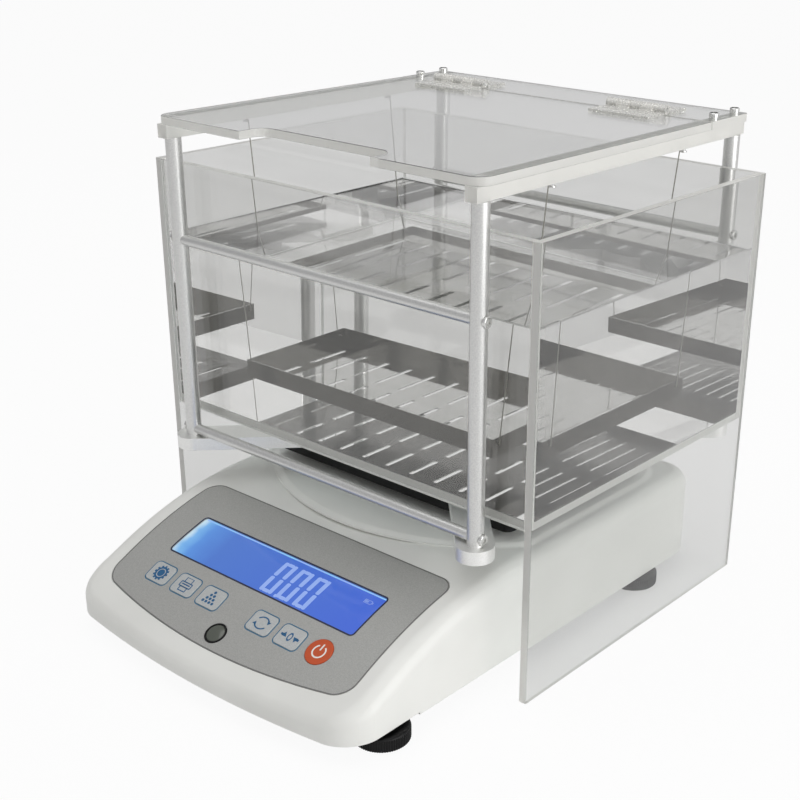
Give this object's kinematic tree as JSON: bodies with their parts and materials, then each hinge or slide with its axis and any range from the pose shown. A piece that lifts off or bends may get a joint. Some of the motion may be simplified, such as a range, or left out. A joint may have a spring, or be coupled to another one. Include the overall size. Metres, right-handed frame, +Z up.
{
  "type": "benchtop density meter",
  "caption": "Benchtop density meter: platform balance under a clear water tank, with a hinged clear platform and a slotted tray hung in the tank.",
  "frame": {"origin": "on the bench, in the middle of the overall width and depth", "axes": "+X the user's right-hand side, +Y the back, +Z up"},
  "size_m": [0.368, 0.4494, 0.3755],
  "materials": {
    "white_abs": "fine textured moulded ABS",
    "keypad_film": "satin silver-grey polyester film",
    "display_glass": "backlit blue display under clear film",
    "key_film": "embossed film key with blue printed symbol",
    "power_film": "embossed orange film key",
    "level_glass": "dark domed lens",
    "circuit_board": "solder mask",
    "black_plastic": "moulded black ABS",
    "knob_plastic": "knurled black nylon",
    "cell_aluminium": "machined",
    "satin_aluminium": "bead blasted and clear anodised",
    "anodised_aluminium": "satin clear anodised",
    "zinc_steel": "zinc plated",
    "chrome_steel": "bright plated",
    "wire_steel": "drawn stainless wire",
    "stainless_sheet": "polished stainless sheet",
    "acrylic": "clear cast acrylic with polished edges",
    "water": "clear still water"
  },
  "bodies": {
    "balance": {"housing": "white_abs", "base_plate": "zinc_steel", "housing_screws": "zinc_steel", "keypad_sheet": "keypad_film", "display_window": "display_glass", "display_module": "black_plastic", "level_glass": "level_glass", "keypad_board": "circuit_board", "main_board": "circuit_board", "load_cell": "cell_aluminium", "cell_block": "cell_aluminium", "cell_screws": "zinc_steel", "battery": "black_plastic", "dc_jack": "black_plastic", "serial_port": "zinc_steel"},
    "set_key": {"set_key": "key_film"},
    "print_key": {"print_key": "key_film"},
    "enter_key": {"enter_key": "key_film"},
    "mode_key": {"mode_key": "key_film"},
    "zero_key": {"zero_key": "key_film"},
    "power_key": {"power_key": "power_film"},
    "foot_stud_front_left": {"foot_stud_front_left": "zinc_steel"},
    "foot_knob_front_left": {"foot_knob_front_left": "knob_plastic"},
    "foot_stud_front_right": {"foot_stud_front_right": "zinc_steel"},
    "foot_knob_front_right": {"foot_knob_front_right": "knob_plastic"},
    "foot_stud_rear_left": {"foot_stud_rear_left": "zinc_steel"},
    "foot_knob_rear_left": {"foot_knob_rear_left": "knob_plastic"},
    "foot_stud_rear_right": {"foot_stud_rear_right": "zinc_steel"},
    "foot_knob_rear_right": {"foot_knob_rear_right": "knob_plastic"},
    "weighing_frame": {"pan_bracket": "cell_aluminium", "pan_support": "black_plastic", "spider": "satin_aluminium", "spider_spacers": "black_plastic", "post_front_left": "anodised_aluminium", "post_front_right": "anodised_aluminium", "post_rear_left": "anodised_aluminium", "post_rear_right": "anodised_aluminium", "front_rod_lower": "anodised_aluminium", "front_rod_upper": "anodised_aluminium", "rear_rod_lower": "anodised_aluminium", "rear_rod_upper": "anodised_aluminium", "frame_screws": "chrome_steel", "rail_left": "acrylic", "rail_right": "acrylic", "rear_strip": "acrylic", "cap_studs": "chrome_steel", "hinge_leaves_fixed": "acrylic", "hinge_pins": "chrome_steel", "wire_screws": "chrome_steel"},
    "lid": {"lid": "acrylic", "hinge_leaves_lid": "acrylic"},
    "front_wires": {"front_wires": "wire_steel"},
    "rear_wires": {"rear_wires": "wire_steel"},
    "tray": {"tray": "stainless_sheet"},
    "tank": {"tank_side_left": "acrylic", "tank_side_right": "acrylic", "tank_front": "acrylic", "tank_back": "acrylic", "tank_floor": "acrylic"}
  },
  "joints": [
    {"name": "set_key_press", "type": "slide", "parent": "balance", "child": "set_key", "axis": [0, 0.4384, -0.8988], "range_m": [0, 0.0004], "stiffness_N_per_m": 3000, "springref_m": -0.0002},
    {"name": "print_key_press", "type": "slide", "parent": "balance", "child": "print_key", "axis": [0, 0.4384, -0.8988], "range_m": [0, 0.0004], "stiffness_N_per_m": 3000, "springref_m": -0.0002},
    {"name": "enter_key_press", "type": "slide", "parent": "balance", "child": "enter_key", "axis": [0, 0.4384, -0.8988], "range_m": [0, 0.0004], "stiffness_N_per_m": 3000, "springref_m": -0.0002},
    {"name": "mode_key_press", "type": "slide", "parent": "balance", "child": "mode_key", "axis": [0, 0.4384, -0.8988], "range_m": [0, 0.0004], "stiffness_N_per_m": 3000, "springref_m": -0.0002},
    {"name": "zero_key_press", "type": "slide", "parent": "balance", "child": "zero_key", "axis": [0, 0.4384, -0.8988], "range_m": [0, 0.0004], "stiffness_N_per_m": 3000, "springref_m": -0.0002},
    {"name": "power_key_press", "type": "slide", "parent": "balance", "child": "power_key", "axis": [0, 0.4384, -0.8988], "range_m": [0, 0.0004], "stiffness_N_per_m": 3000, "springref_m": -0.0002},
    {"name": "front_left_foot_travel", "type": "slide", "parent": "balance", "child": "foot_stud_front_left", "axis": [0, 0, -1], "range_m": [0, 0.005]},
    {"name": "front_left_foot_turn", "type": "hinge", "parent": "foot_stud_front_left", "child": "foot_knob_front_left", "pos_m": [-0.134, -0.16975, 0], "axis": [0, 0, -1], "range_deg": [0, 1440]},
    {"name": "front_right_foot_travel", "type": "slide", "parent": "balance", "child": "foot_stud_front_right", "axis": [0, 0, -1], "range_m": [0, 0.005]},
    {"name": "front_right_foot_turn", "type": "hinge", "parent": "foot_stud_front_right", "child": "foot_knob_front_right", "pos_m": [0.134, -0.16975, 0], "axis": [0, 0, -1], "range_deg": [0, 1440]},
    {"name": "rear_left_foot_travel", "type": "slide", "parent": "balance", "child": "foot_stud_rear_left", "axis": [0, 0, -1], "range_m": [0, 0.005]},
    {"name": "rear_left_foot_turn", "type": "hinge", "parent": "foot_stud_rear_left", "child": "foot_knob_rear_left", "pos_m": [-0.134, 0.12425, 0], "axis": [0, 0, -1], "range_deg": [0, 1440]},
    {"name": "rear_right_foot_travel", "type": "slide", "parent": "balance", "child": "foot_stud_rear_right", "axis": [0, 0, -1], "range_m": [0, 0.005]},
    {"name": "rear_right_foot_turn", "type": "hinge", "parent": "foot_stud_rear_right", "child": "foot_knob_rear_right", "pos_m": [0.134, 0.12425, 0], "axis": [0, 0, -1], "range_deg": [0, 1440]},
    {"name": "platform_travel", "type": "slide", "parent": "balance", "child": "weighing_frame", "axis": [0, 0, -1], "range_m": [0, 0.0003], "stiffness_N_per_m": 50000, "springref_m": -0.0014},
    {"name": "lid_hinge", "type": "hinge", "parent": "weighing_frame", "child": "lid", "pos_m": [0, 0.16625, 0.372], "axis": [-1, 0, 0], "range_deg": [0, 170]},
    {"name": "front_wires_swing", "type": "hinge", "parent": "weighing_frame", "child": "front_wires", "pos_m": [0, -0.01775, 0.3504], "axis": [1, 0, 0], "range_deg": [-5, 5]},
    {"name": "rear_wires_swing", "type": "hinge", "parent": "weighing_frame", "child": "rear_wires", "pos_m": [0, 0.14025, 0.3504], "axis": [1, 0, 0], "range_deg": [-5, 5]},
    {"name": "tray_swing", "type": "hinge", "parent": "front_wires", "child": "tray", "pos_m": [0, -0.01775, 0.1695], "axis": [1, 0, 0], "range_deg": [-5, 5]},
    {"name": "tank_lift", "type": "slide", "parent": "balance", "child": "tank", "axis": [0, 0, 1], "range_m": [0, 0.02]}
  ],
  "couplings": [
    {"joint": "front_left_foot_travel", "follows": "front_left_foot_turn", "m_per_rad": 0.00019892},
    {"joint": "front_right_foot_travel", "follows": "front_right_foot_turn", "m_per_rad": 0.00019892},
    {"joint": "rear_left_foot_travel", "follows": "rear_left_foot_turn", "m_per_rad": 0.00019892},
    {"joint": "rear_right_foot_travel", "follows": "rear_right_foot_turn", "m_per_rad": 0.00019892},
    {"joint": "rear_wires_swing", "follows": "front_wires_swing", "ratio": 1},
    {"joint": "tray_swing", "follows": "front_wires_swing", "ratio": -1}
  ]
}
